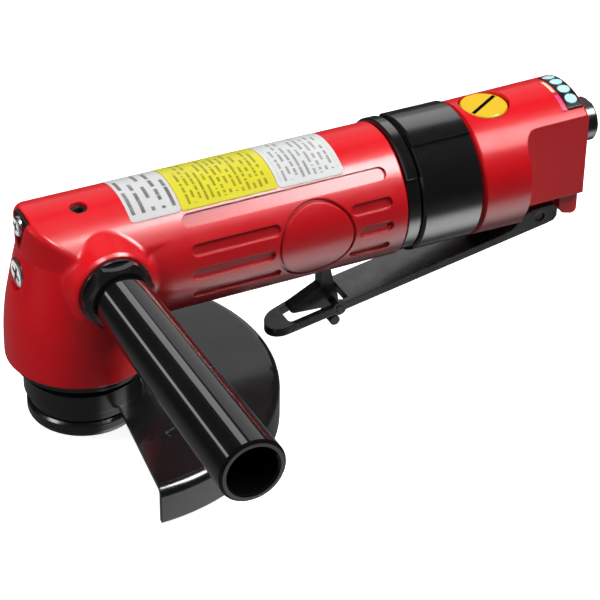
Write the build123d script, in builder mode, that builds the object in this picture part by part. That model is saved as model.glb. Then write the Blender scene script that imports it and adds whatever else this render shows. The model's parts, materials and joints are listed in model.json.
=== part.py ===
from build123d import *
import os
from math import sin, cos, radians, degrees, sqrt, pi, atan2

os.makedirs("parts", exist_ok=True)

# ---------------------------------------------------------------- driving dimensions (mm)
# Frame: +X along the motor axis towards the air inlet, +Z up along the spindle,
# origin on the spindle axis at the outer face of the flange nut.
ZM = 62.0              # motor axis above the flange nut's outer face
R_BARREL = 25.0        # motor barrel
X_BARREL = 118.4       # rear end of the barrel
R_BORE = 21.6          # motor bore
R_HEAD = 21.5          # upper head, about the spindle
Z_BELL = -36.1         # lower rim of the head bell, from the motor axis
X_RING = (118.75, 124.2)    # exhaust ring
X_COLLAR = (124.5, 149.5)   # exhaust collar
X_REAR = (149.7, 198.2)     # rear handle
R_REAR = (25.5, 26.1)       # rear handle radius, front and rear
Y_FLAT = 16.5          # side flats of the rear handle
Y_LUG = 6.3            # half width of the lever lug
X_VALVE = 162.0        # valve and regulator axis
Z_INLET = 8.0          # inlet axis above the motor axis
X_INLET = 208.5        # inlet mouth
R_INLET = 8.5
R_INLET_BORE = 5.6     # quarter-inch pipe thread
GREASE = (-0.4, -4.0)  # grease hole in the head's top
Z_SCREWS = (1.2, 20.2) # nose screws above the motor axis
D_FLUTE = 1.15         # depth of the barrel's flutes
HX, HZ = 3.3, 2.4      # side handle axis
R_RIM = 3.0            # rounding of the head's upper rim
Y_BOSS = 26.2          # face of the side handle boss
Y_PAD, R_PAD = 24.0, 10.4   # handle seat on the other side
R_STUD = 5.0           # M10 handle stud
Y_HANDLE = 137.5       # open end of the side handle
R_GUARD = 71.1
Z_GUARD = -50.8        # top of the guard plate
H_SKIRT = 14.4
T_GUARD = 1.9
PX, PZ = 184.9, -25.4  # lever pivot
LX, LZ = 99.4, -43.1   # latch pivot
W_LEVER = 8.7          # lever half width
N_PINION, N_GEAR = 12, 30
R_P, R_G = 7.8, 19.5   # pitch radii at the outer end of the teeth
R_THREAD = 7.0         # M14 spindle thread
R_END = 6.6            # its plain free end below the nut


def mplane(x, y=0.0, z=0.0):
    """Plane across the motor axis at x, normal +X."""
    return Plane(origin=(x, y, ZM + z), x_dir=(0, 1, 0), z_dir=(1, 0, 0))


def side(y=0.0, x=0.0):
    """Side view plane: local x = X, local y = height above the motor axis, normal -Y."""
    return Plane(origin=(x, y, ZM), x_dir=(1, 0, 0), z_dir=(0, -1, 0))


def hplane(y):
    """Plane across the side handle axis at -y, normal -Y."""
    return Plane(origin=(HX, -y, ZM + HZ), x_dir=(1, 0, 0), z_dir=(0, -1, 0))


def hside(s=1):
    """Plane holding the side handle axis: local x runs out along the handle, local y = radius."""
    return Plane(origin=(HX, 0, ZM + HZ), x_dir=(0, -s, 0), z_dir=(0, 0, s))


def top(z, x=0.0):
    """Plan view plane at height z from the motor axis."""
    return Plane(origin=(x, 0, ZM + z), x_dir=(1, 0, 0), z_dir=(0, 0, 1))


def radial(a):
    """Plane holding the motor axis; local y points out at angle a (0 = -Y side, 90 = top)."""
    return Plane(origin=(0, 0, ZM), x_dir=(1, 0, 0), z_dir=(0, -sin(radians(a)), -cos(radians(a))))


def tangent(a, r, x):
    """Plane touching the barrel at angle a, normal outwards, local x = X."""
    return Plane(origin=(x, -r * cos(radians(a)), ZM + r * sin(radians(a))), x_dir=(1, 0, 0),
                 z_dir=(0, -cos(radians(a)), sin(radians(a))))


MOTOR_AXIS = Axis((0, 0, ZM), (1, 0, 0))
HANDLE_AXIS = Axis((HX, 0, ZM + HZ), (0, -1, 0))
VALVE_AXIS = Axis((X_VALVE, 0, 0), (0, 0, 1))


def save(builder, name):
    builder.part.label = name
    export_step(builder.part, "parts/" + name + ".step")
    print(name, len(builder.part.solids()), round(builder.part.volume))


# ---------------------------------------------------------------- front housing: angle head and motor barrel
with BuildPart() as badge_groove:
    for s in (-1, 1):
        with BuildSketch(Plane(origin=(81.5, s * 12, ZM), x_dir=(1, 0, 0), z_dir=(0, s, 0))):
            Circle(15.2)
            Circle(14.2, mode=Mode.SUBTRACT)
        extrude(amount=20)
    with BuildSketch(mplane(60)):
        Circle(R_BARREL + 6)
        Circle(R_BARREL - 0.8, mode=Mode.SUBTRACT)
    extrude(amount=45, mode=Mode.INTERSECT)

# recessed flutes along the barrel: angle, start, end, width
FLUTES = [(45.0, 32.5, 112.0, 5.2), (20.0, 33.5, 67.6, 4.2), (20.0, 95.6, 112.0, 4.2),
          (-1.5, 33.0, 64.8, 4.2), (-1.5, 98.4, 112.0, 4.2),
          (-23.0, 34.0, 68.0, 4.2), (-23.0, 95.4, 111.6, 4.2)]

with BuildPart() as front_housing:
    # upper head: round front about the spindle, straight sides running back, under the barrel's own curve
    with BuildSketch(top(-8)):
        Circle(R_HEAD)
        with Locations((15, 0)):
            Rectangle(30, 2 * R_HEAD)
    extrude(amount=34)
    with BuildSketch(Plane(origin=(-30, 0, ZM), x_dir=(0, 0, -1), z_dir=(1, 0, 0))):
        Circle(R_BARREL)
    extrude(amount=80, mode=Mode.INTERSECT)
    fillet(front_housing.edges().filter_by(lambda e: e.center().Z > ZM + 8 and e.center().X < 29), R_RIM)
    # bell round the spindle
    with BuildSketch(side()):
        with BuildLine():
            Polyline((0, Z_BELL), (26.6, Z_BELL), (27.7, Z_BELL + 1.2))
            Spline((27.7, Z_BELL + 1.2), (27.5, -25), (26.4, -14), (24.9, -6), (22.9, 3), (21.4, 9.5))
            Polyline((21.4, 9.5), (21.0, 11.5), (0, 11.5), (0, Z_BELL))
        make_face()
    revolve(axis=Axis.Z)
    # barrel with a rounded shoulder running into the head
    with BuildSketch(side()):
        with BuildLine():
            Line((-2, 0), (-2, 14))
            Spline((-2, 14), (10, 20.5), (27, R_BARREL), tangents=[(1, 0.75), (1, 0)])
            Polyline((27, R_BARREL), (X_BARREL - 0.8, R_BARREL), (X_BARREL, R_BARREL - 0.8), (X_BARREL, 0), (-2, 0))
        make_face()
    revolve(axis=MOTOR_AXIS)
    # flared boss for the side handle, blended into the head
    with BuildSketch(hside()):
        with BuildLine():
            Polyline((8, 0), (8, 20.5))
            Spline((8, 20.5), (16, 17.2), (Y_BOSS - 1, 14.6))
            Polyline((Y_BOSS - 1, 14.6), (Y_BOSS, 13.6), (Y_BOSS, 0), (8, 0))
        make_face()
    revolve(axis=HANDLE_AXIS)
    fillet(front_housing.edges().filter_by(GeomType.BSPLINE).filter_by(
        lambda e: e.center().Y < -12 and e.center().Z > ZM - 3
        and 14.8 < sqrt((e.center().X - HX) ** 2 + (e.center().Z - ZM - HZ) ** 2) < 17.8), 4.0)
    # low pad with a spot-faced seat for the handle on the other side
    with BuildSketch(hside(-1)):
        with BuildLine():
            Polyline((8, 0), (8, 12.4), (Y_PAD - 0.6, R_PAD), (Y_PAD, R_PAD - 0.6), (Y_PAD, 0), close=True)
        make_face()
    revolve(axis=HANDLE_AXIS)
    with BuildSketch(Plane(origin=(HX, Y_PAD, ZM + HZ), x_dir=(1, 0, 0), z_dir=(0, 1, 0))):
        Circle(R_PAD + 0.8)
    extrude(amount=6, mode=Mode.SUBTRACT)
    # motor bore, bearing pocket and pinion bore
    with BuildSketch(side()):
        with BuildLine():
            Polyline((9, 0), (9, 9.8), (27, 9.8), (27, 11), (40, 11), (40, R_BORE), (X_BARREL + 1, R_BORE),
                     (X_BARREL + 1, 0), close=True)
        make_face()
    revolve(axis=MOTOR_AXIS, mode=Mode.SUBTRACT)
    # gear chamber, spindle hole, upper bearing pocket and grease hole
    with BuildSketch(side()):
        with BuildLine():
            Polyline((0, Z_BELL - 1), (22.2, Z_BELL - 1), (22.2, -7.6), (18.8, -4.2), (6.2, -4.2), (6.2, 8), (9.6, 8), (9.6, 17.2),
                     (0, 17.2), close=True)
        make_face()
    revolve(axis=Axis.Z, mode=Mode.SUBTRACT)
    with BuildSketch(top(17)):
        with Locations(GREASE):
            Circle(3.1)
    extrude(amount=10, mode=Mode.SUBTRACT)
    # handle stud holes
    for s, y in ((1, Y_BOSS), (-1, Y_PAD)):
        with BuildSketch(Plane(origin=(HX, -s * (y + 1), ZM + HZ), x_dir=(1, 0, 0), z_dir=(0, s, 0))):
            Circle(R_STUD)
        extrude(amount=13.5, mode=Mode.SUBTRACT)
    # front screw counterbore, and the shield-shaped pocket open to the top edge
    with BuildSketch(mplane(-21.2)):
        with Locations((0, Z_SCREWS[0])):
            Circle(5.7)
    extrude(amount=-12, mode=Mode.SUBTRACT)
    with BuildSketch(mplane(-18.9)) as nose_pocket:
        with BuildLine():
            Polyline((-7.1, 26), (7.1, 26), (0, 8.6), close=True)
        make_face()
        fillet(nose_pocket.vertices().sort_by(Axis.Y)[0], 1.6)
    extrude(amount=-12, mode=Mode.SUBTRACT)
    with BuildSketch(mplane(-30)):
        with Locations((0, Z_SCREWS[0]), (0, Z_SCREWS[1])):
            Circle(2.4)
    extrude(amount=19, mode=Mode.SUBTRACT)
    # flutes and badge rings, both sides
    for ang, x0, x1, w in FLUTES:
        for a in (ang, 180 - ang):
            with BuildSketch(tangent(a, R_BARREL - D_FLUTE, (x0 + x1) / 2)):
                SlotOverall(x1 - x0, w)
            extrude(amount=3, mode=Mode.SUBTRACT)
    add(badge_groove.part, mode=Mode.SUBTRACT)
    # small blind hole at the end of the middle flute
    with BuildSketch(tangent(-1.5, R_BARREL - 2.2, 110.7)):
        Circle(0.95)
    extrude(amount=3, mode=Mode.SUBTRACT)
save(front_housing, "front_housing")

# thin black plate in the nose pocket
with BuildPart() as nose_plate:
    with BuildSketch(mplane(-18.95)) as nose_shape:
        with BuildLine():
            Polyline((-6.75, 25.5), (6.75, 25.5), (0, 9.0), close=True)
        make_face()
        fillet(nose_shape.vertices().sort_by(Axis.Y)[0], 1.4)
    extrude(amount=-1.15)
    with BuildSketch(mplane(-15)):
        Circle(R_BARREL - 0.9)
    extrude(amount=-10, mode=Mode.INTERSECT)
    with BuildSketch(mplane(-18, 0, Z_SCREWS[1])):
        Circle(2.6)
    extrude(amount=-6, mode=Mode.SUBTRACT)
save(nose_plate, "nose_plate")

# two cross-recess screws in the nose
SCREWS = ((-21.2, Z_SCREWS[0], 5.4), (-20.15, Z_SCREWS[1], 3.6))
with BuildPart() as head_screws:
    for xf, z, r in SCREWS:
        with BuildSketch(mplane(xf, 0, z)):
            Circle(r)
        extrude(amount=-1.9)
        with BuildSketch(mplane(xf, 0, z)):
            Circle(2.35)
        extrude(amount=8.5)
    fillet(head_screws.edges().filter_by(GeomType.CIRCLE).filter_by(
        lambda e: e.radius > 3 and e.arc_center.X < -22.0), 0.8)
    for xf, z, r in SCREWS:
        with BuildSketch(mplane(xf - 1.9, 0, z)):
            Rectangle(1.25 * r, 0.28 * r, rotation=20)
            Rectangle(0.28 * r, 1.25 * r, rotation=20)
        extrude(amount=1.2, mode=Mode.SUBTRACT)
save(head_screws, "head_screws")

# grease plug, a socket set screw just below the top
with BuildPart() as grease_plug:
    with BuildSketch(top(17.6)):
        with Locations(GREASE):
            Circle(3.05)
    extrude(amount=5.9)
    with BuildSketch(top(23.5)):
        with Locations(GREASE):
            RegularPolygon(1.9, 6)
    extrude(amount=-3, mode=Mode.SUBTRACT)
save(grease_plug, "grease_plug")

# ---------------------------------------------------------------- rear handle with valve body
with BuildPart() as handle_housing:
    with BuildSketch(side()):
        with BuildLine():
            Polyline((104, 0), (104, 20.6), (104.8, 21.4), (X_REAR[0], 21.4), (X_REAR[0], R_REAR[0] - 1.3),
                     (X_REAR[0] + 1.1, R_REAR[0]), (X_REAR[1] - 1.2, R_REAR[1]), (X_REAR[1], R_REAR[1] - 1.2),
                     (X_REAR[1], 0), close=True)
        make_face()
    revolve(axis=MOTOR_AXIS)
    # lever pivot boss and rear rib under the handle
    with BuildSketch(side()):
        with Locations((PX, PZ)):
            Circle(4.3)
        with Locations((PX, PZ + 6)):
            Rectangle(8.6, 12)
    extrude(amount=Y_LUG, both=True)
    # side flats above, and the narrow lug below them
    for s in (1, -1):
        with BuildSketch(top(-34)):
            with BuildLine():
                Polyline((169.4, -s * 32), (169.4, -s * (Y_FLAT + 5.5)))
                ThreePointArc((169.4, -s * (Y_FLAT + 5.5)), (171.01, -s * (Y_FLAT + 1.61)), (174.9, -s * Y_FLAT))
                Polyline((174.9, -s * Y_FLAT), (203, -s * Y_FLAT), (203, -s * 32), (169.4, -s * 32))
            make_face()
        extrude(amount=64, mode=Mode.SUBTRACT)
        with BuildSketch(top(-34)):
            with BuildLine():
                Polyline((171.4, -s * 32), (171.4, -s * (Y_LUG + 3)))
                ThreePointArc((171.4, -s * (Y_LUG + 3)), (172.28, -s * (Y_LUG + 0.88)), (174.4, -s * Y_LUG))
                Polyline((174.4, -s * Y_LUG), (203, -s * Y_LUG), (203, -s * 32), (171.4, -s * 32))
            make_face()
        extrude(amount=20.5, mode=Mode.SUBTRACT)
    # rear rib under the inlet, set in from the flats, with a notch each side of the lug for the lever's ears
    for y0, y1, x0 in ((-13.3, -9.4, 190.0), (-9.4, 9.4, 193.6), (9.4, 13.3, 190.0)):
        with BuildSketch(side(y1)):
            with BuildLine():
                Polyline((x0, -12), (x0, -20.2), (x0 + 1.8, -22.8), (195.6, -23.9), (197.2, -23.6), (198.0, -22.4), (198.0, -12), close=True)
            make_face()
        extrude(amount=y1 - y0)
    # forward air chamber, valve bore, regulator pocket and inlet bore
    with BuildSketch(mplane(103)):
        Circle(15)
    extrude(amount=44, mode=Mode.SUBTRACT)
    with BuildSketch(mplane(146)):
        Circle(6)
    extrude(amount=16, mode=Mode.SUBTRACT)
    with BuildSketch(top(-30, X_VALVE)):
        Circle(6.5)
    extrude(amount=48, mode=Mode.SUBTRACT)
    with BuildSketch(top(12.6, X_VALVE)):
        Circle(8.3)
    extrude(amount=20, mode=Mode.SUBTRACT)
    with BuildSketch(top(20.4, X_VALVE)):
        Circle(9.55)
    extrude(amount=20, mode=Mode.SUBTRACT)
    with BuildSketch(mplane(X_VALVE, 0, Z_INLET)):
        Circle(4.4)
    extrude(amount=20, mode=Mode.SUBTRACT)
    with BuildSketch(mplane(X_VALVE + 16, 0, Z_INLET)):
        Circle(7.1)
    extrude(amount=30, mode=Mode.SUBTRACT)
    # lever pin hole
    with BuildSketch(side(20)):
        with Locations((PX, PZ)):
            Circle(2.0)
    extrude(amount=40, mode=Mode.SUBTRACT)
save(handle_housing, "handle_housing")

# ---------------------------------------------------------------- exhaust ring with deflector lip, and collar
with BuildPart() as exhaust_ring:
    with BuildSketch(side()):
        with BuildLine():
            Polyline((X_RING[0], 21.75), (X_RING[0], 24.3), (X_RING[1] - 0.6, 24.3), (X_RING[1], 23.7), (X_RING[1], 21.75), close=True)
        make_face()
    revolve(axis=MOTOR_AXIS)
    with BuildSketch(radial(146)):
        with BuildLine():
            Polyline((X_RING[0], 23.5), (X_RING[0], 25.5), (X_RING[0] + 0.6, 26.1), (X_RING[0] + 4.2, 26.1), (X_RING[0] + 4.6, 25.7),
                     (X_RING[0] + 4.6, 23.5), close=True)
        make_face()
    revolve(axis=MOTOR_AXIS, revolution_arc=112)
save(exhaust_ring, "exhaust_ring")

with BuildPart() as exhaust_collar:
    with BuildSketch(side()):
        with BuildLine():
            Polyline((X_COLLAR[0], 21.6), (X_COLLAR[0], 24.4), (X_COLLAR[0] + 0.9, 25.3), (X_COLLAR[1] - 0.9, 25.3), (X_COLLAR[1], 24.4),
                     (X_COLLAR[1], 21.6), close=True)
        make_face()
    revolve(axis=MOTOR_AXIS)
    with BuildSketch(radial(120)):
        with BuildLine():
            Polyline((X_COLLAR[0] + 0.6, 24.5), (X_COLLAR[0] + 0.6, 25.8), (X_COLLAR[0] + 1.4, 26.3), (X_COLLAR[1] - 0.9, 26.3),
                     (X_COLLAR[1] - 0.2, 25.6), (X_COLLAR[1] - 0.2, 24.5), close=True)
        make_face()
    revolve(axis=MOTOR_AXIS, revolution_arc=60)
save(exhaust_collar, "exhaust_collar")

# ---------------------------------------------------------------- bearing cap and guard
with BuildPart() as bearing_cap:
    with BuildSketch(side()):
        with BuildLine():
            Polyline((16.0, -22.4), (22.05, -22.4), (22.05, Z_BELL - 0.1), (24.6, Z_BELL - 0.1), (25.2, Z_BELL - 0.7), (25.2, -38.6), (24.6, -39.2),
                     (18.4, -39.2), (18.4, -49.4), (17.9, -49.9), (12.0, -49.9), (12.0, -36), (14.0, -35.2), (14.0, -34.1), (16.0, -34.1), close=True)
        make_face()
    revolve(axis=Axis.Z)
save(bearing_cap, "bearing_cap")

with BuildPart() as guard:
    with BuildSketch(side()) as guard_section:
        with BuildLine():
            Polyline((20.6, Z_GUARD), (R_GUARD, Z_GUARD), (R_GUARD, Z_GUARD - H_SKIRT), (R_GUARD - T_GUARD, Z_GUARD - H_SKIRT),
                     (R_GUARD - T_GUARD, Z_GUARD - T_GUARD), (20.6, Z_GUARD - T_GUARD), close=True)
        make_face()
        fillet(guard_section.vertices().filter_by(lambda v: v.X > 60 and abs(v.Y - Z_GUARD) < 0.01), 3.4)
        fillet(guard_section.vertices().filter_by(lambda v: v.X > 60 and abs(v.Y - (Z_GUARD - T_GUARD)) < 0.01), 1.5)
    revolve(axis=Axis.Z)
    # open front half
    with BuildSketch(top(Z_GUARD - 20)):
        with BuildLine():
            Polyline((-90, -90), (-2.5, -90), (7.4, -2), (7.4, 2), (-2.5, 90), (-90, 90), close=True)
        make_face()
    extrude(amount=30, mode=Mode.SUBTRACT)
    # split clamp band with two ears at the back
    with BuildSketch(top(Z_GUARD - 0.1)):
        Circle(21.7)
        with Locations((25.5, 0)):
            Rectangle(12, 6.8)
        Circle(18.7, mode=Mode.SUBTRACT)
        with Locations((26, 0)):
            Rectangle(20, 2.2, mode=Mode.SUBTRACT)
    extrude(amount=7.6)
    with BuildSketch(side(10)):
        with Locations((27.6, Z_GUARD + 3.9)):
            Circle(2.1)
    extrude(amount=20, mode=Mode.SUBTRACT)
    # raised rotation arrow on the plate
    with BuildSketch(top(Z_GUARD - 0.2)):
        with BuildLine():
            Polyline((19.0, -38.0), (12.6, -40.2), (13.2, -38.2), (7.4, -43.4), (14.6, -44.8), (13.6, -42.6), (18.4, -40.6), close=True)
        make_face()
    extrude(amount=0.7)
save(guard, "guard")

with BuildPart() as guard_clamp_screw:
    with BuildSketch(side(-3.5)):
        with Locations((27.6, Z_GUARD + 3.9)):
            Circle(3.3)
    extrude(amount=2.4)
    with BuildSketch(side(6.6)):
        with Locations((27.6, Z_GUARD + 3.9)):
            Circle(2.0)
    extrude(amount=10.2)
    with BuildSketch(side(-6.0)):
        with Locations((27.6, Z_GUARD + 3.9)):
            RegularPolygon(1.9, 6)
    extrude(amount=-1.4, mode=Mode.SUBTRACT)
save(guard_clamp_screw, "guard_clamp_screw")

with BuildPart() as guard_clamp_nut:
    with BuildSketch(side(6.2)):
        with Locations((27.6, Z_GUARD + 3.9)):
            RegularPolygon(3.5, 6)
            Circle(2.05, mode=Mode.SUBTRACT)
    extrude(amount=2.7)
save(guard_clamp_nut, "guard_clamp_nut")

# ---------------------------------------------------------------- spindle, bevel gear, flanges
with BuildPart() as spindle:
    with BuildSketch(side()):
        with BuildLine():
            Polyline((0, 16.6), (4.4, 16.6), (5.0, 16.0), (5.0, -6.0), (8.0, -6.0), (8.0, -21.0), (10.2, -21.0), (10.2, -23.8), (8.5, -23.8),
                     (8.5, -36.2), (11.2, -36.2), (11.2, -51.2), (R_THREAD, -51.2), (R_THREAD, -62.0), (6.2, -62.0), (6.2, -62.4),
                     (R_END, -62.4), (R_END, -65.4), (6.4, -65.9), (0, -65.9), close=True)
        make_face()
    revolve(axis=Axis.Z)
    with BuildSketch(top(-18.0)):
        with Locations((-8, 0)):
            Rectangle(3.2, 3.0)
    extrude(amount=8.0, mode=Mode.SUBTRACT)
save(spindle, "spindle")

with BuildPart() as gear_key:
    with BuildSketch(top(-17.9)):
        with Locations((-8, 0)):
            Rectangle(3.0, 2.9)
    extrude(amount=7.8)
save(gear_key, "gear_key")

# bevel pair: pitch cones meet at the crossing of the two axes
MOD = 2 * R_G / N_GEAR
CONE = sqrt(R_P ** 2 + R_G ** 2)
FACE = 5.0
S_IN = (CONE - FACE) / CONE
TOOTH = 0.38 * pi * MOD  # thickness at the pitch line
D1 = atan2(R_P, R_G)     # pinion pitch angle
EX, EZ = cos(D1), -sin(D1)   # pitch cone element at the mesh
NX, NZ = sin(D1), cos(D1)    # square to it, out of the gear
ROOT = 1.25


def tooth_profile(k):
    """Corners of one straight tooth, scaled by k towards the apex."""
    up, down, t = 0.95 * k, 1.75 * k, TOOTH * k
    return [(-t / 2 - down * 0.36, -down), (t / 2 + down * 0.36, -down), (t / 2 - up * 0.36, up), (-t / 2 + up * 0.36, up)]


with BuildPart() as gear_tooth:
    for k in (1.0, S_IN):
        with BuildSketch(Plane(origin=(k * CONE * EX, 0, ZM + k * CONE * EZ), x_dir=(0, 1, 0), z_dir=(EX, 0, EZ))):
            with BuildLine():
                Polyline(*tooth_profile(k), close=True)
            make_face()
    loft()

with BuildPart() as pinion_tooth:
    for k in (1.0, S_IN):
        with BuildSketch(Plane(origin=(k * CONE * EX, 0, ZM + k * CONE * EZ), x_dir=(0, 1, 0), z_dir=(-EX, 0, -EZ))):
            with BuildLine():
                Polyline(*tooth_profile(k), close=True)
            make_face()
    loft()

# the gear has a gap facing the pinion, the pinion a tooth facing the gear
gear_teeth = [gear_tooth.part.rotate(Axis.Z, 360.0 / N_GEAR * (i + 0.5)) for i in range(N_GEAR)]
pinion_teeth = [pinion_tooth.part.rotate(MOTOR_AXIS, 360.0 / N_PINION * i) for i in range(N_PINION)]

with BuildPart() as bevel_gear:
    with BuildSketch(side()):
        with BuildLine():
            Polyline((8.05, -8.0), (13.3, -7.4), (S_IN * (CONE * EX - ROOT * NX), S_IN * (CONE * EZ - ROOT * NZ)),
                     (CONE * EX - ROOT * NX, CONE * EZ - ROOT * NZ), (19.4, -13.2), (14.0, -15.6), (12.4, -20.8), (8.05, -20.8), close=True)
        make_face()
    revolve(axis=Axis.Z)
    add(gear_teeth)
    with BuildSketch(top(-22)):
        with Locations((-8.8, 0)):
            Rectangle(1.8, 3.0)
    extrude(amount=16, mode=Mode.SUBTRACT)
save(bevel_gear, "bevel_gear")

with BuildPart() as bevel_pinion:
    with BuildSketch(side()):
        with BuildLine():
            Polyline((14.6, 0), (14.6, 4.5), (S_IN * (CONE * EX + ROOT * NX), -S_IN * (CONE * EZ + ROOT * NZ)),
                     (CONE * EX + ROOT * NX, -(CONE * EZ + ROOT * NZ)), (21.4, 6.0), (38.2, 6.0), (38.2, 3.6), (21.0, 3.6), (21.0, 0), close=True)
        make_face()
    revolve(axis=MOTOR_AXIS)
    add(pinion_teeth)
save(bevel_pinion, "bevel_pinion")

with BuildPart() as inner_flange:
    with BuildSketch(side()):
        with BuildLine():
            Polyline((7.05, -51.3), (19.2, -51.3), (20.0, -52.1), (20.0, -54.9), (19.4, -55.5), (15.0, -55.5), (14.6, -54.9), (7.05, -54.9), close=True)
        make_face()
    revolve(axis=Axis.Z)
save(inner_flange, "inner_flange")

with BuildPart() as flange_nut:
    with BuildSketch(side()):
        with BuildLine():
            Polyline((18.3, -62.0), (7.05, -62.0), (7.05, -55.7), (20.0, -55.7), (20.9, -56.6), (20.9, -59.4))
            ThreePointArc((20.9, -59.4), (20.138, -61.238), (18.3, -62.0))
        make_face()
    revolve(axis=Axis.Z)
    # pin spanner holes in the outer face
    with BuildSketch(top(-62.0)):
        with PolarLocations(15, 4):
            Circle(2.5)
    extrude(amount=4, mode=Mode.SUBTRACT)
save(flange_nut, "flange_nut")

with BuildPart() as upper_bearing:
    with BuildSketch(side()):
        with BuildLine():
            Polyline((5.08, 8.2), (9.5, 8.2), (9.5, 16.9), (5.08, 16.9), close=True)
        make_face()
    revolve(axis=Axis.Z)
    with BuildSketch(side()):
        with BuildLine():
            Polyline((6.6, 16.0), (8.0, 16.0), (8.0, 18.0), (6.6, 18.0), close=True)
        make_face()
    revolve(axis=Axis.Z, mode=Mode.SUBTRACT)
save(upper_bearing, "upper_bearing")

with BuildPart() as lower_bearing:
    with BuildSketch(side()):
        with BuildLine():
            Polyline((8.58, -24.0), (15.9, -24.0), (15.9, -33.9), (8.58, -33.9), close=True)
        make_face()
    revolve(axis=Axis.Z)
    with BuildSketch(side()):
        with BuildLine():
            Polyline((11.0, -25.2), (13.6, -25.2), (13.6, -23.0), (11.0, -23.0), close=True)
        make_face()
    revolve(axis=Axis.Z, mode=Mode.SUBTRACT)
save(lower_bearing, "lower_bearing")

# ---------------------------------------------------------------- vane motor
R_ROTOR = 14.7
with BuildPart() as rotor:
    with BuildSketch(side()):
        with BuildLine():
            Polyline((21.4, 0), (21.4, 3.5), (38.4, 3.5), (38.4, 6.2), (46.4, 6.2), (46.4, R_ROTOR), (95.6, R_ROTOR), (95.6, 5.0),
                     (103.4, 5.0), (103.4, 0), close=True)
        make_face()
    revolve(axis=MOTOR_AXIS)
    with BuildSketch(mplane(46)):
        with PolarLocations(11.6, 5):
            Rectangle(8.4, 2.0)
    extrude(amount=50, mode=Mode.SUBTRACT)
save(rotor, "rotor")

with BuildPart() as vanes:
    with BuildSketch(mplane(46.8)):
        with PolarLocations(10.9, 5):
            Rectangle(6.6, 1.8)
    extrude(amount=48.4)
save(vanes, "vanes")

with BuildPart() as motor_cylinder:
    with BuildSketch(mplane(46.1)):
        Circle(21.45)
        with Locations((0, 2.0)):
            Circle(17.0, mode=Mode.SUBTRACT)
        with Locations((0, -18.4)):
            Circle(1.6, mode=Mode.SUBTRACT)
        with Locations((-19.4, 6.5), (19.4, 6.5)):
            Circle(0.9, mode=Mode.SUBTRACT)
    extrude(amount=49.8)
save(motor_cylinder, "motor_cylinder")

with BuildPart() as front_plate:
    with BuildSketch(mplane(40.2)):
        Circle(21.45)
        Circle(6.6, mode=Mode.SUBTRACT)
        with Locations((0, -18.4)):
            Circle(1.6, mode=Mode.SUBTRACT)
    extrude(amount=5.7)
save(front_plate, "front_plate")

with BuildPart() as rear_plate:
    with BuildSketch(mplane(96.1)):
        Circle(21.45)
        Circle(9.05, mode=Mode.SUBTRACT)
    extrude(amount=7.6)
    with BuildSketch(mplane(96.1)):
        Circle(9.2)
        Circle(6.4, mode=Mode.SUBTRACT)
    extrude(amount=1.0)
    with BuildSketch(mplane(96.1)):
        with Locations((0, -18.4)):
            Circle(1.6)
    extrude(amount=3, mode=Mode.SUBTRACT)
    with BuildSketch(mplane(96.1)):
        with PolarLocations(13.2, 3, start_angle=60, angular_range=60, endpoint=True):
            Circle(1.8)
    extrude(amount=8, mode=Mode.SUBTRACT)
save(rear_plate, "rear_plate")

with BuildPart() as front_rotor_bearing:
    with BuildSketch(side()):
        with BuildLine():
            Polyline((28.0, 6.08), (28.0, 10.95), (37.4, 10.95), (37.4, 9.4), (36.6, 9.4), (36.6, 7.6), (37.4, 7.6), (37.4, 6.08), close=True)
        make_face()
    revolve(axis=MOTOR_AXIS)
save(front_rotor_bearing, "front_rotor_bearing")

with BuildPart() as rear_rotor_bearing:
    with BuildSketch(side()):
        with BuildLine():
            Polyline((97.2, 5.08), (97.2, 9.0), (103.4, 9.0), (103.4, 7.8), (102.6, 7.8), (102.6, 6.3), (103.4, 6.3), (103.4, 5.08), close=True)
        make_face()
    revolve(axis=MOTOR_AXIS)
save(rear_rotor_bearing, "rear_rotor_bearing")

with BuildPart() as cylinder_pin:
    with BuildSketch(mplane(42.0, 0, -18.4)):
        Circle(1.5)
    extrude(amount=56.5)
save(cylinder_pin, "cylinder_pin")

# ---------------------------------------------------------------- throttle lever, its pin and the lock-off latch
X_BEND = 100.2                      # where the tongue starts
SLOPE, SLOPE_T = 0.1742, 0.262      # lever body and tongue
Z_BEND = -44.5
X_TIP, R_TIP = 72.9, 6.8            # rounded end of the tongue
X_EAR = 171.9                       # where the fork's ears rise
X_WEB = 178.2                       # rear end of the web


def low(x):
    """Height of the lever's lower edge."""
    return Z_BEND + (x - X_BEND) * (SLOPE if x > X_BEND else SLOPE_T)


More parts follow.
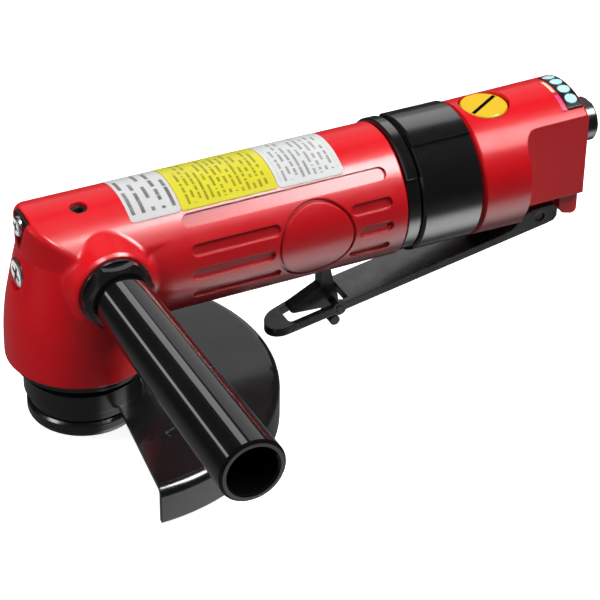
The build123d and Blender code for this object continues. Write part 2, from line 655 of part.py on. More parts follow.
with BuildPart() as throttle_lever:
    # web of the channel, and the solid tongue
    with BuildSketch(side()):
        with BuildLine():
            Polyline((X_WEB, low(X_WEB) + 3.3), (X_BEND, Z_BEND + 3.3), (X_TIP - 1, low(X_TIP - 1) + 3.3), (X_TIP - 1, low(X_TIP - 1)),
                     (X_BEND, Z_BEND), (105, low(105)), (106.6, low(106.6) + 1.3), (X_WEB, low(X_WEB) + 1.3), close=True)
        make_face()
    extrude(amount=W_LEVER, both=True)
    for y in (-(W_LEVER - 2.0), W_LEVER):
        # side flange, fork ear and latch pin boss
        with BuildSketch(side(y)):
            with BuildLine():
                Polyline((181.6, -21.5), (186.0, -21.2), (190.8, -21.2), (192.5, -22.9), (192.5, -26.7), (191.2, -28.4), (187.5, low(187.5)),
                         (X_BEND, Z_BEND), (X_BEND, Z_BEND + 3.3), (X_EAR, low(X_EAR) + 3.3))
                Spline((X_EAR, low(X_EAR) + 3.3), (174.2, -27.0), (177.4, -23.7), (181.6, -21.5))
            make_face()
            with Locations((LX, LZ)):
                Circle(2.9)
        extrude(amount=2.0)
    # tapering tongue with a rounded end, in plan
    with BuildSketch(Plane.XY):
        with Locations((X_TIP + R_TIP, 0)):
            Circle(R_TIP)
        with BuildLine():
            Polyline((X_TIP + R_TIP - 0.7, -R_TIP), (97, -W_LEVER), (196, -W_LEVER), (196, W_LEVER), (97, W_LEVER),
                     (X_TIP + R_TIP - 0.7, R_TIP), close=True)
        make_face()
    extrude(amount=ZM, mode=Mode.INTERSECT)
    # long latch slot through the tongue, leaving two side rails
    with BuildSketch(Plane.XY):
        with BuildLine():
            Line((80.6, -3.2), (80.6, 3.2))
            ThreePointArc((80.6, 3.2), (81.15, 4.4), (82.4, 4.9))
            Polyline((82.4, 4.9), (96.5, 6.3), (104.0, 6.3), (104.0, -6.3), (96.5, -6.3), (82.4, -4.9))
            ThreePointArc((82.4, -4.9), (81.15, -4.4), (80.6, -3.2))
        make_face()
    extrude(amount=ZM, mode=Mode.SUBTRACT)
    # pin holes
    with BuildSketch(side(20)):
        with Locations((LX, LZ)):
            Circle(1.3)
        with Locations((PX, PZ)):
            Circle(2.05)
    extrude(amount=40, mode=Mode.SUBTRACT)
save(throttle_lever, "throttle_lever")

with BuildPart() as lever_pin:
    with BuildSketch(side(W_LEVER - 0.5)):
        with Locations((PX, PZ)):
            Circle(1.98)
    extrude(amount=2 * W_LEVER - 1.0)
save(lever_pin, "lever_pin")

with BuildPart() as latch_pin:
    with BuildSketch(side(W_LEVER + 0.3)):
        with Locations((LX, LZ)):
            Circle(1.28)
    extrude(amount=2 * W_LEVER + 0.6)
save(latch_pin, "latch_pin")

with BuildPart() as lock_latch:
    # broad upright tab, fin sloping forward along the slot, and finger arm below
    with BuildSketch(side()):
        with BuildLine():
            Polyline((LX - 4.9, -28.9), (LX - 0.9, -28.6), (LX + 0.7, -36.0), (LX + 2.5, LZ + 1.4), (LX + 2.2, LZ - 2.2), (LX + 1.6, -51.0),
                     (LX - 1.2, -51.0), (LX - 2.6, LZ - 2.4), (83.2, -44.5), (82.2, -43.7), (82.0, -42.4), (82.8, -41.4), (LX - 5.0, -35.6),
                     close=True)
        make_face()
        with Locations((LX + 0.5, -51.4)):
            Circle(2.0)
        with Locations((LX, LZ)):
            Circle(2.6)
            Circle(1.36, mode=Mode.SUBTRACT)
    extrude(amount=2.4, both=True)
    # wider finger pad
    with BuildSketch(side()):
        with Locations((LX + 0.5, -51.4)):
            Circle(2.0)
    extrude(amount=4.2, both=True)
save(lock_latch, "lock_latch")

with BuildPart() as latch_spring:
    # close-wound torsion spring beside the latch
    with BuildSketch(Plane(origin=(LX, 0, ZM + LZ), x_dir=(0, -1, 0), z_dir=(0, 0, 1))):
        for i in range(3):
            with Locations((-3.05 - 0.42 * i, 1.95)):
                Circle(0.27)
    revolve(axis=Axis((LX, 0, ZM + LZ), (0, -1, 0)))
save(latch_spring, "latch_spring")

# ---------------------------------------------------------------- valve, regulator and inlet
with BuildPart() as valve_bush:
    with BuildSketch(side(0, X_VALVE)):
        with BuildLine():
            Polyline((3.18, -12.0), (6.4, -12.0), (6.4, -22.4), (5.6, -23.4), (3.18, -23.4), close=True)
        make_face()
    revolve(axis=VALVE_AXIS)
save(valve_bush, "valve_bush")

with BuildPart() as valve_seat:
    with BuildSketch(side(0, X_VALVE)):
        with BuildLine():
            Polyline((4.0, -5.0), (6.4, -5.0), (6.4, -8.6), (4.0, -8.6), close=True)
        make_face()
    revolve(axis=VALVE_AXIS)
save(valve_seat, "valve_seat")

Z_STEM = low(X_VALVE + 4.3) + 3.3 + 0.35
with BuildPart() as valve_stem:
    with BuildSketch(side(0, X_VALVE)):
        with BuildLine():
            Polyline((0, Z_STEM), (3.9, Z_STEM), (4.3, Z_STEM + 0.4), (4.3, -25.9), (3.1, -25.9), (3.1, -8.8), (2.4, -8.2), (2.4, -4.7), (5.4, -4.7), (5.4, -1.6), (2.0, -1.6),
                     (2.0, 1.0), (0, 1.0), close=True)
        make_face()
    revolve(axis=VALVE_AXIS)
save(valve_stem, "valve_stem")

with BuildPart() as valve_spring:
    # coil stack between the stem head and the regulator
    with BuildSketch(side(0, X_VALVE)):
        for i in range(7):
            with Locations((4.2, -0.9 + 2.17 * i)):
                Circle(0.55)
        with Locations((4.2, 5.6)):
            Rectangle(0.35, 13.0)
    revolve(axis=VALVE_AXIS)
save(valve_spring, "valve_spring")

with BuildPart() as regulator:
    with BuildSketch(side(0, X_VALVE)):
        with BuildLine():
            Polyline((0, 12.9), (7.9, 12.9), (7.9, 15.4), (6.9, 15.4), (6.9, 17.4), (7.9, 17.4), (7.9, 18.4), (7.0, 18.4), (7.0, 19.4), (7.9, 19.4),
                     (7.9, 20.7), (8.95, 20.7), (8.95, 24.1), (8.5, 24.6), (0, 24.6), close=True)
        make_face()
    revolve(axis=VALVE_AXIS)
    # screwdriver slot
    with BuildSketch(top(24.6, X_VALVE)):
        Rectangle(15.6, 1.1, rotation=32)
    extrude(amount=-2.4, mode=Mode.SUBTRACT)
save(regulator, "regulator")

with BuildPart() as regulator_oring:
    with BuildSketch(side(0, X_VALVE)):
        with Locations((7.6, 16.4)):
            Circle(0.65)
    revolve(axis=VALVE_AXIS)
save(regulator_oring, "regulator_oring")

with BuildPart() as regulator_clip:
    with BuildSketch(top(18.6, X_VALVE)):
        Circle(8.25)
        Circle(7.2, mode=Mode.SUBTRACT)
        with Locations((0, 8)):
            Rectangle(3.0, 4.0, mode=Mode.SUBTRACT)
    extrude(amount=0.6)
save(regulator_clip, "regulator_clip")

with BuildPart() as inlet_bushing:
    with BuildSketch(mplane(X_REAR[1] - 14, 0, Z_INLET)):
        Circle(7.0)
    extrude(amount=14.2)
    with BuildSketch(mplane(X_REAR[1] + 0.2, 0, Z_INLET)):
        Circle(R_INLET)
    extrude(amount=X_INLET - X_REAR[1] - 0.2)
    chamfer(inlet_bushing.edges().group_by(Axis.X)[-1], 0.8)
    with BuildSketch(mplane(X_REAR[1] - 15, 0, Z_INLET)):
        Circle(R_INLET_BORE)
    extrude(amount=40, mode=Mode.SUBTRACT)
    # spanner flats
    for s in (1, -1):
        with BuildSketch(mplane(X_REAR[1] + 3.2, 0, Z_INLET)):
            with Locations((0, s * (7.4 + 4))):
                Rectangle(20, 8)
        extrude(amount=12, mode=Mode.SUBTRACT)
save(inlet_bushing, "inlet_bushing")

with BuildPart() as inlet_screen:
    with BuildSketch(mplane(X_VALVE + 16.2, 0, Z_INLET)):
        Circle(6.9)
        Circle(3.4, mode=Mode.SUBTRACT)
    extrude(amount=1.2)
    with BuildSketch(mplane(X_VALVE + 16.2, 0, Z_INLET)):
        Circle(4.6)
        Circle(3.4, mode=Mode.SUBTRACT)
    extrude(amount=5.2)
    with BuildSketch(mplane(X_VALVE + 21.4, 0, Z_INLET)):
        Circle(4.6)
        with PolarLocations(2.4, 6):
            Circle(0.7, mode=Mode.SUBTRACT)
    extrude(amount=0.5)
save(inlet_screen, "inlet_screen")

# ---------------------------------------------------------------- side handle
with BuildPart() as side_handle:
    with BuildSketch(hside()):
        with BuildLine():
            Polyline((Y_BOSS + 7.2, 0), (Y_BOSS + 7.2, 9.7), (Y_BOSS + 9.4, 9.7), (Y_BOSS + 9.9, 10.25), (Y_HANDLE - 1.0, 11.54),
                     (Y_HANDLE, 10.6), (Y_HANDLE, 9.4), (Y_HANDLE - 0.8, 8.63), (56, 8.2), (52, 5.0), (52, 0), close=True)
        make_face()
    revolve(axis=HANDLE_AXIS)
    with BuildSketch(hplane(Y_BOSS + 6)):
        Circle(R_STUD)
    extrude(amount=14, mode=Mode.SUBTRACT)
save(side_handle, "side_handle")

with BuildPart() as handle_locknut:
    with BuildSketch(hside()):
        with BuildLine():
            Polyline((Y_BOSS + 0.1, R_STUD + 0.05), (Y_BOSS + 0.1, 12.6), (Y_BOSS + 0.5, 13.0), (Y_BOSS + 4.4, 13.0), (Y_BOSS + 7.0, 11.0),
                     (Y_BOSS + 7.0, R_STUD + 0.05), close=True)
        make_face()
    revolve(axis=HANDLE_AXIS)
    # hexagon flats under the round corners
    with BuildSketch(hplane(Y_BOSS + 1.9)):
        RegularPolygon(13.7, 6)
    extrude(amount=8, mode=Mode.INTERSECT)
    with BuildSketch(hplane(Y_BOSS + 0.1)):
        Circle(13.0)
        Circle(R_STUD + 0.05, mode=Mode.SUBTRACT)
    extrude(amount=1.8)
save(handle_locknut, "handle_locknut")

with BuildPart() as handle_stud:
    with BuildSketch(hplane(Y_BOSS - 12)):
        Circle(R_STUD - 0.02)
    extrude(amount=31.5)
    chamfer(handle_stud.edges().filter_by(GeomType.CIRCLE), 0.6)
save(handle_stud, "handle_stud")
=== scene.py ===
import json
import math

import bpy
from mathutils import Matrix, Vector
from mathutils.bvhtree import BVHTree

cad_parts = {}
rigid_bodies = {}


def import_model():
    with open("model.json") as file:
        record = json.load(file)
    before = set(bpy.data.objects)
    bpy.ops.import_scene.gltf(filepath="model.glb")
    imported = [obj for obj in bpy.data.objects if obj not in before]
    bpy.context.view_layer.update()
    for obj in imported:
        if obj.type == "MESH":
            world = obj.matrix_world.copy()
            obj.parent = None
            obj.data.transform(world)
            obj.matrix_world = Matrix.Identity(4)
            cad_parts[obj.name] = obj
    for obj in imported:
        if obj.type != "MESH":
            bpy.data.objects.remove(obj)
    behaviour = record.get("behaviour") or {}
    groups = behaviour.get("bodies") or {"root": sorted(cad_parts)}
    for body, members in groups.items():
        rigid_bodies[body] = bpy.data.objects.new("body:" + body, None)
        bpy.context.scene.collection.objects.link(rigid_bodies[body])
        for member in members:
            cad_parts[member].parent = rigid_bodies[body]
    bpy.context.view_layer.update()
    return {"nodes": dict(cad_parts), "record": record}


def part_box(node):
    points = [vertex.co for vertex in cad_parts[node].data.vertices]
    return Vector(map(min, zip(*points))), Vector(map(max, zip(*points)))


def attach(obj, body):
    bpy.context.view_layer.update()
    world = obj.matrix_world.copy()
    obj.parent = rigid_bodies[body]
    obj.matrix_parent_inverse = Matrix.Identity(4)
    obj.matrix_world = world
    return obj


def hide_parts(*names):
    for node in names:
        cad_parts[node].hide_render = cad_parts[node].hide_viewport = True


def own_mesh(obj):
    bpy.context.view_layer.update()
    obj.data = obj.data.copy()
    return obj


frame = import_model()
NODES = frame["nodes"]
ZM = 0.062  # motor axis

# ---------------------------------------------------------------- camera at the photograph's angle
cam_pos = Vector((-0.24175, -0.65814, 0.45065 + ZM))
right = Vector((0.90240131, -0.43088508, 0.00314824))
up = Vector((0.22392974, 0.4751925, 0.85090984))
back = Vector((-0.36814038, -0.76715718, 0.52530232))
FOCAL = 2368.73  # pixels of a 600 pixel frame
aim = (-back * FOCAL + right * (300 - 268.795) - up * (300 - 214.324)).normalized()
r2 = (right - aim * right.dot(aim)).normalized()
u2 = r2.cross(aim).normalized()
cam_data = bpy.data.cameras.new("camera")
cam_data.sensor_fit = "HORIZONTAL"
cam_data.sensor_width = 36.0
cam_data.lens = 36.0 * FOCAL / 600.0
cam_data.clip_start = 0.01
cam = bpy.data.objects.new("camera", cam_data)
cam.matrix_world = Matrix(((r2.x, u2.x, -aim.x, cam_pos.x), (r2.y, u2.y, -aim.y, cam_pos.y), (r2.z, u2.z, -aim.z, cam_pos.z), (0, 0, 0, 1)))
bpy.context.scene.collection.objects.link(cam)
bpy.context.scene.camera = cam


# ---------------------------------------------------------------- material helpers
class Nodes:
    """Short names for building a shader tree."""

    def __init__(self, name):
        self.mat = bpy.data.materials.new(name)
        self.mat.use_nodes = True
        self.t = self.mat.node_tree
        self.bsdf = self.t.nodes["Principled BSDF"]
        self.co = self.t.nodes.new("ShaderNodeTexCoord").outputs["Object"]

    def new(self, kind, **inputs):
        n = self.t.nodes.new(kind)
        for k, v in inputs.items():
            self.put(n.inputs[k.replace("_", " ")], v)
        return n

    def put(self, socket, v):
        if isinstance(v, bpy.types.NodeSocket):
            self.t.links.new(v, socket)
        else:
            socket.default_value = v

    def noise(self, scale, detail=3.0, rough=0.55, vector=None):
        n = self.new("ShaderNodeTexNoise", Scale=scale, Detail=detail, Roughness=rough)
        self.put(n.inputs["Vector"], vector or self.co)
        return n.outputs["Fac"]

    def math(self, op, a, b=0.0, clamp=False):
        n = self.t.nodes.new("ShaderNodeMath")
        n.operation = op
        n.use_clamp = clamp
        self.put(n.inputs[0], a)
        self.put(n.inputs[1], b)
        return n.outputs[0]

    def remap(self, v, lo, hi, to_lo, to_hi):
        n = self.t.nodes.new("ShaderNodeMapRange")
        self.put(n.inputs["Value"], v)
        for k, x in (("From Min", lo), ("From Max", hi), ("To Min", to_lo), ("To Max", to_hi)):
            self.put(n.inputs[k], x)
        return n.outputs["Result"]

    def mix(self, fac, a, b):
        n = self.t.nodes.new("ShaderNodeMix")
        n.data_type = "RGBA"
        self.put(n.inputs[0], fac)
        self.put(n.inputs[6], a)
        self.put(n.inputs[7], b)
        return n.outputs[2]

    def scaled(self, x, y, z):
        n = self.t.nodes.new("ShaderNodeMapping")
        self.put(n.inputs["Vector"], self.co)
        n.inputs["Scale"].default_value = (x, y, z)
        return n.outputs["Vector"]

    def bump(self, height, strength, distance, normal=None):
        n = self.t.nodes.new("ShaderNodeBump")
        n.inputs["Strength"].default_value = strength
        n.inputs["Distance"].default_value = distance
        self.put(n.inputs["Height"], height)
        if normal is not None:
            self.put(n.inputs["Normal"], normal)
        return n.outputs["Normal"]

    def soft_edges(self, radius):
        n = self.t.nodes.new("ShaderNodeBevel")
        n.samples = 6
        n.inputs["Radius"].default_value = radius
        return n.outputs["Normal"]

    def set(self, **inputs):
        for k, v in inputs.items():
            self.put(self.bsdf.inputs[k.replace("_", " ")], v)


def rgb(r, g, b):
    return (r, g, b, 1.0)


def paint(name, base, deep, rough, coat, coat_rough, peel=0.05, edge=0.0007, spec=0.5, ior=1.5):
    """Sprayed enamel: faint colour drift, fine orange peel, a clear coat."""
    m = Nodes(name)
    drift = m.remap(m.noise(22.0, 4.0), 0.3, 0.7, 0.0, 1.0)
    m.set(Base_Color=m.mix(drift, rgb(*base), rgb(*deep)))
    m.set(Roughness=m.remap(m.noise(160.0, 4.0), 0.25, 0.75, rough * 0.8, rough * 1.25))
    m.set(Coat_Weight=coat, Coat_Roughness=coat_rough, Specular_IOR_Level=spec, IOR=ior)
    normal = m.soft_edges(edge)
    m.set(Normal=m.bump(m.noise(900.0, 2.0), peel, 0.00012, normal))
    return m.mat


def metal(name, base, deep, rough, grain=(1.0, 1.0, 1.0), scratch=0.12, edge=0.0003):
    """Machined or plated metal with fine directional grain."""
    m = Nodes(name)
    g = m.noise(420.0, 5.0, 0.65, m.scaled(*grain))
    m.set(Base_Color=m.mix(m.remap(m.noise(90.0, 3.0), 0.3, 0.7, 0.0, 1.0), rgb(*base), rgb(*deep)))
    m.set(Metallic=1.0, Roughness=m.remap(g, 0.25, 0.75, rough * 0.75, rough * 1.3))
    m.set(Normal=m.bump(g, scratch, 0.00006, m.soft_edges(edge)))
    return m.mat


def plastic(name, base, deep, rough, texture=700.0, strength=0.12, edge=0.0004):
    m = Nodes(name)
    m.set(Base_Color=m.mix(m.remap(m.noise(60.0, 3.0), 0.3, 0.7, 0.0, 1.0), rgb(*base), rgb(*deep)))
    m.set(Roughness=m.remap(m.noise(240.0, 3.0), 0.25, 0.75, rough * 0.85, rough * 1.15))
    m.set(Normal=m.bump(m.noise(texture, 3.0), strength, 0.00008, m.soft_edges(edge)))
    return m.mat


RED = paint("red_enamel", (0.72, 0.007, 0.014), (0.65, 0.005, 0.011), 0.36, 0.50, 0.17, 0.035, 0.0008, 0.25)
BLACK = paint("black_enamel", (0.006, 0.006, 0.007), (0.010, 0.010, 0.011), 0.22, 0.35, 0.10, 0.05, 0.0006)
TUBE = paint("black_tube", (0.003, 0.003, 0.004), (0.006, 0.006, 0.006), 0.30, 1.0, 0.035, 0.02, 0.0006, 0.05)
LEVER = paint("lever_black", (0.020, 0.019, 0.018), (0.024, 0.022, 0.021), 0.27, 0.25, 0.12, 0.05, 0.0005)
COLLAR = paint("collar_black", (0.005, 0.005, 0.006), (0.009, 0.009, 0.009), 0.20, 0.3, 0.12, 0.04, 0.0006, 0.5, 1.75)
PLATE = plastic("nose_black", (0.010, 0.010, 0.010), (0.018, 0.018, 0.018), 0.5)
ZINC = metal("zinc_plate", (0.90, 0.90, 0.91), (0.80, 0.81, 0.83), 0.32)
STEEL = metal("turned_steel", (0.52, 0.52, 0.54), (0.42, 0.42, 0.44), 0.3, (1.0, 1.0, 6.0))
DARK_STEEL = metal("oxide_steel", (0.05, 0.05, 0.055), (0.09, 0.09, 0.09), 0.4)
CAST = plastic("cast_iron", (0.20, 0.20, 0.205), (0.28, 0.28, 0.29), 0.6, 900.0, 0.3)
BRASS = metal("brass", (0.80, 0.58, 0.24), (0.66, 0.46, 0.18), 0.26)
YELLOW = paint("yellow_disc", (0.70, 0.43, 0.004), (0.74, 0.48, 0.008), 0.32, 0.15, 0.1, 0.05, 0.0004, 0.3)
RUBBER = plastic("rubber", (0.012, 0.012, 0.012), (0.02, 0.02, 0.02), 0.75, 1200.0, 0.2)
VANE = plastic("vane_laminate", (0.20, 0.11, 0.05), (0.28, 0.16, 0.08), 0.55, 500.0, 0.25)

BY_SLOT = {"red_paint": RED, "black_gloss": BLACK, "black_lever": LEVER, "black_collar": COLLAR, "black_plate": PLATE, "zinc": ZINC, "steel": STEEL,
           "cast": CAST, "brass": BRASS, "yellow_disc": YELLOW, "rubber": RUBBER, "vane": VANE}


def reopen(mat):
    m = Nodes.__new__(Nodes)
    m.mat, m.t = mat, mat.node_tree
    m.bsdf = m.t.nodes["Principled BSDF"]
    m.co = m.t.nodes.new("ShaderNodeTexCoord").outputs["Object"]
    return m


# painted shade: the red paint is darkened towards the floors of the barrel's flutes and badge rings, standing in for
# the shade in those recesses
red = reopen(RED)
at = red.new("ShaderNodeSeparateXYZ", Vector=red.co)
up_from_axis = red.math("SUBTRACT", at.outputs["Z"], ZM)
reach = red.math("SQRT", red.math("ADD", red.math("MULTIPLY", at.outputs["Y"], at.outputs["Y"]), red.math("MULTIPLY", up_from_axis, up_from_axis)))
along = red.math("MULTIPLY", red.math("GREATER_THAN", at.outputs["X"], 0.031), red.math("LESS_THAN", at.outputs["X"], 0.1165))
# painted shade mask, strongest where the surface lies below the barrel's outer radius
recess_painted_shade = red.math("MULTIPLY", along, red.remap(reach, 0.0249, 0.0242, 0.0, 0.36))
red.set(Base_Color=red.mix(recess_painted_shade, red.bsdf.inputs["Base Color"].links[0].from_socket, rgb(0.16, 0.004, 0.006)))
# painted shade: the regulator's screwdriver slot is coloured near black, and a thin band along its edges too, standing
# in for the shade in the slot
reg = reopen(YELLOW)
spot = reg.new("ShaderNodeSeparateXYZ", Vector=reg.co).outputs
off_x = reg.math("MULTIPLY", reg.math("SUBTRACT", spot["X"], 0.162), -math.sin(math.radians(32.0)))
off = reg.math("ABSOLUTE", reg.math("ADD", off_x, reg.math("MULTIPLY", spot["Y"], math.cos(math.radians(32.0)))))
deep = reg.math("MAXIMUM", reg.math("LESS_THAN", spot["Z"], ZM + 0.0242), reg.math("LESS_THAN", off, 0.00078))
mid = reg.new("ShaderNodeVectorMath")
mid.operation = "DISTANCE"
reg.put(mid.inputs[0], reg.co)
reg.put(mid.inputs[1], (0.162, 0.0, ZM + 0.0240))
slot_painted_shade = reg.math("MULTIPLY", deep, reg.math("LESS_THAN", mid.outputs["Value"], 0.0082))
# mixes the near-black painted slot shade into the yellow
reg.set(Base_Color=reg.mix(slot_painted_shade, reg.bsdf.inputs["Base Color"].links[0].from_socket, rgb(0.006, 0.006, 0.006)))
SPECIAL = {"side_handle": TUBE, "regulator_clip": DARK_STEEL, "grease_plug": PLATE, "lever_pin": PLATE, "latch_pin": DARK_STEEL, "valve_stem": DARK_STEEL}
for sub in frame["record"]["subparts"]:
    o = NODES[sub["node"]]
    o.data.materials.clear()
    o.data.materials.append(SPECIAL.get(sub["node"], BY_SLOT[sub["material_slot"]]))


# ---------------------------------------------------------------- stickers, laid on the housing's own surface
def surface(node):
    me = NODES[node].data
    return BVHTree.FromPolygons([v.co.copy() for v in me.vertices], [tuple(p.vertices) for p in me.polygons])


def on_motor(tree, x, ang, lift):
    """Point of the surface at x and at an angle about the motor axis (0 = -Y side, 90 = top), raised by lift."""
    d = Vector((0, -math.cos(ang), math.sin(ang)))
    hit = tree.ray_cast(Vector((x, 0, ZM)) + d * 0.06, -d)
    return hit[0] + d * lift


def sticker(name, tree, x0, x1, a0, a1, corner, mat, body, nu=40, nv=48, lift=0.00006, radius=0.025):
    """Thin film with rounded corners between x0 and x1 (m) and the angles a0 and a1 (degrees)."""
    a0, a1 = math.radians(a0), math.radians(a1)
    w, h = x1 - x0, (a1 - a0) * radius
    us = sorted(set([round(corner * (1 - math.cos(math.pi / 2 * i / 6)), 7) for i in range(7)] +
                    [round(w - corner * (1 - math.cos(math.pi / 2 * i / 6)), 7) for i in range(7)] +
                    [round(corner + (w - 2 * corner) * i / nu, 7) for i in range(nu + 1)]))
    verts, faces, uvs = [], [], []
    for u in us:
        e = min(u, w - u)
        inset = 0.0 if e >= corner else corner - math.sqrt(max(0.0, corner ** 2 - (corner - e) ** 2))
        for j in range(nv + 1):
            v = inset + (h - 2 * inset) * j / nv
            verts.append(on_motor(tree, x0 + u, a0 + v / radius, lift))
            uvs.append((u / w, v / h))
    n = nv + 1
    for i in range(len(us) - 1):
        for j in range(nv):
            faces.append((i * n + j, i * n + j + 1, (i + 1) * n + j + 1, (i + 1) * n + j))
    me = bpy.data.meshes.new(name)
    me.from_pydata(verts, [], faces)
    layer = me.uv_layers.new(name="uv")
    for loop in me.loops:
        layer.data[loop.index].uv = uvs[loop.vertex_index]
    me.materials.append(mat)
    for p in me.polygons:
        p.use_smooth = True
    o = bpy.data.objects.new(name, me)
    bpy.context.scene.collection.objects.link(o)
    if me.polygons[0].normal.dot(me.polygons[0].center - Vector((me.polygons[0].center.x, 0, ZM))) < 0:
        me.flip_normals()
    solid = o.modifiers.new("film", "SOLIDIFY")
    solid.thickness = 0.00005
    solid.offset = 1.0
    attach(o, body)
    return o


def film(name, ground, ink, rows, margin, fill, strength, words, along_u=False, rough=0.32):
    """Label film with plain printed bars of uneven length, no lettering."""
    m = Nodes(name)
    uv = m.t.nodes.new("ShaderNodeTexCoord").outputs["UV"]
    sep = m.new("ShaderNodeSeparateXYZ", Vector=uv)
    run, across = (sep.outputs[0], sep.outputs[1]) if along_u else (sep.outputs[1], sep.outputs[0])
    row = m.math("MULTIPLY", across, float(rows))
    index = m.math("FLOOR", row)
    frac = m.math("FRACT", row)
    cell = m.t.nodes.new("ShaderNodeTexWhiteNoise")
    cell.noise_dimensions = "1D"
    m.put(cell.inputs["W"], index)
    length = m.remap(cell.outputs["Value"], 0.0, 1.0, 0.55, 1.0 - margin)
    gaps = m.t.nodes.new("ShaderNodeTexNoise")
    gaps.noise_dimensions = "2D"
    m.put(gaps.inputs["Scale"], 1.0)
    m.put(gaps.inputs["Detail"], 1.0)
    place = m.new("ShaderNodeCombineXYZ", X=m.math("MULTIPLY", run, words), Y=m.math("MULTIPLY", index, 7.3))
    m.put(gaps.inputs["Vector"], place.outputs[0])
    bar = m.math("LESS_THAN", m.math("ABSOLUTE", m.math("SUBTRACT", frac, 0.5)), fill / 2)
    bar = m.math("MULTIPLY", bar, m.math("GREATER_THAN", gaps.outputs["Fac"], 0.43))
    inside = m.math("MULTIPLY", m.math("GREATER_THAN", run, margin), m.math("LESS_THAN", run, length))
    edge = m.math("MULTIPLY", m.math("GREATER_THAN", across, 0.06), m.math("LESS_THAN", across, 0.94))
    mask = m.math("MULTIPLY", m.math("MULTIPLY", m.math("MULTIPLY", bar, inside), edge), strength)
    worn = m.remap(m.noise(260.0, 4.0), 0.35, 0.6, 0.75, 1.0)
    paper = m.mix(m.remap(m.noise(70.0, 3.0), 0.3, 0.7, 0.0, 1.0), rgb(*ground), rgb(*[c * 0.94 for c in ground]))
    m.set(Base_Color=m.mix(m.math("MULTIPLY", mask, worn), paper, rgb(*ink)))
    m.set(Roughness=m.remap(m.noise(300.0, 3.0), 0.25, 0.75, rough * 0.85, rough * 1.2), Coat_Weight=0.25, Coat_Roughness=0.15)
    m.set(Normal=m.bump(m.noise(500.0, 2.0), 0.04, 0.00008))
    return m.mat


barrel = surface("front_housing")
rear = surface("handle_housing")
WHITE_FILM = film("film_white", (0.64, 0.64, 0.64), (0.06, 0.06, 0.065), 5, 0.10, 0.36, 0.85, 9.0)
YELLOW_FILM = film("film_yellow", (0.69, 0.64, 0.035), (0.16, 0.13, 0.01), 16, 0.07, 0.42, 0.75, 18.0)
SILVER_FILM = film("film_silver", (0.67, 0.68, 0.68), (0.13, 0.13, 0.12), 11, 0.08, 0.42, 0.7, 16.0)
sticker("label_white", barrel, 0.0147, 0.0337, 53.0, 122.0, 0.0018, WHITE_FILM, "housing")
sticker("label_yellow", barrel, 0.0339, 0.0707, 53.0, 124.0, 0.0010, YELLOW_FILM, "housing")
sticker("label_silver", barrel, 0.0709, 0.0967, 52.0, 122.0, 0.0020, SILVER_FILM, "housing")
STRIP = plastic("strip_black", (0.008, 0.008, 0.009), (0.014, 0.014, 0.015), 0.25, 600.0, 0.05)
DOT = plastic("dot_pale", (0.42, 0.72, 0.82), (0.60, 0.86, 0.92), 0.25, 600.0, 0.05)
PINK = plastic("band_pink", (0.72, 0.05, 0.18), (0.80, 0.10, 0.22), 0.3, 600.0, 0.05)
CREAM = plastic("band_cream", (0.80, 0.58, 0.40), (0.86, 0.66, 0.48), 0.3, 600.0, 0.05)
sticker("rear_strip", rear, 0.1906, 0.1970, 58.5, 112.0, 0.0006, STRIP, "housing", 10, 30)
sticker("rear_band_1", rear, 0.1884, 0.1902, 58.5, 77.0, 0.0003, PINK, "housing", 4, 20)
sticker("rear_band_2", rear, 0.1886, 0.1900, 79.0, 99.0, 0.0003, CREAM, "housing", 4, 20)
for i, a in enumerate((69.0, 81.2, 93.4, 105.6)):
    sticker("rear_dot_%d" % (i + 1), rear, 0.1916, 0.1964, a - 5.5, a + 5.5, 0.00239, DOT, "housing", 4, 14, 0.00012)

# ---------------------------------------------------------------- the valve spring as a real coil, built in the CAD spring's place
def coil(name, x, z0, z1, coil_r, wire_r, turns, mat, steps=48, sides=12):
    """Compression spring about a vertical axis at x, its first and last turns closed. z0 and z1 are its two ends."""
    low, high = z0 + wire_r, z1 - wire_r
    closed = 2.05 * wire_r
    pitch = (high - low - 2 * closed) / (turns - 2)
    verts, faces = [], []
    count = int(turns * steps)
    for i in range(count + 1):
        t = i / steps
        z = low + closed * min(t, 1.0) + pitch * min(max(t - 1.0, 0.0), turns - 2) + closed * max(t - (turns - 1), 0.0)
        a = 2 * math.pi * t
        for j in range(sides):
            b = 2 * math.pi * j / sides
            r = coil_r + wire_r * math.cos(b)
            verts.append((x + r * math.cos(a), r * math.sin(a), z + wire_r * math.sin(b)))
    for i in range(count):
        for j in range(sides):
            k = (j + 1) % sides
            faces.append((i * sides + j, (i + 1) * sides + j, (i + 1) * sides + k, i * sides + k))
    faces.append(tuple(range(sides)))
    faces.append(tuple(count * sides + j for j in reversed(range(sides))))
    me = bpy.data.meshes.new(name)
    me.from_pydata(verts, [], faces)
    me.materials.append(mat)
    for p in me.polygons:
        p.use_smooth = len(p.vertices) == 4
    me.update()
    o = bpy.data.objects.new(name, me)
    bpy.context.scene.collection.objects.link(o)
    return o


low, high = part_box("valve_spring")
spring = coil("valve_coil", (low[0] + high[0]) / 2, low[2], high[2], (high[0] - low[0]) / 2 - 0.00055, 0.00055, 6, STEEL)
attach(spring, "housing")
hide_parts("valve_spring")
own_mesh(spring)

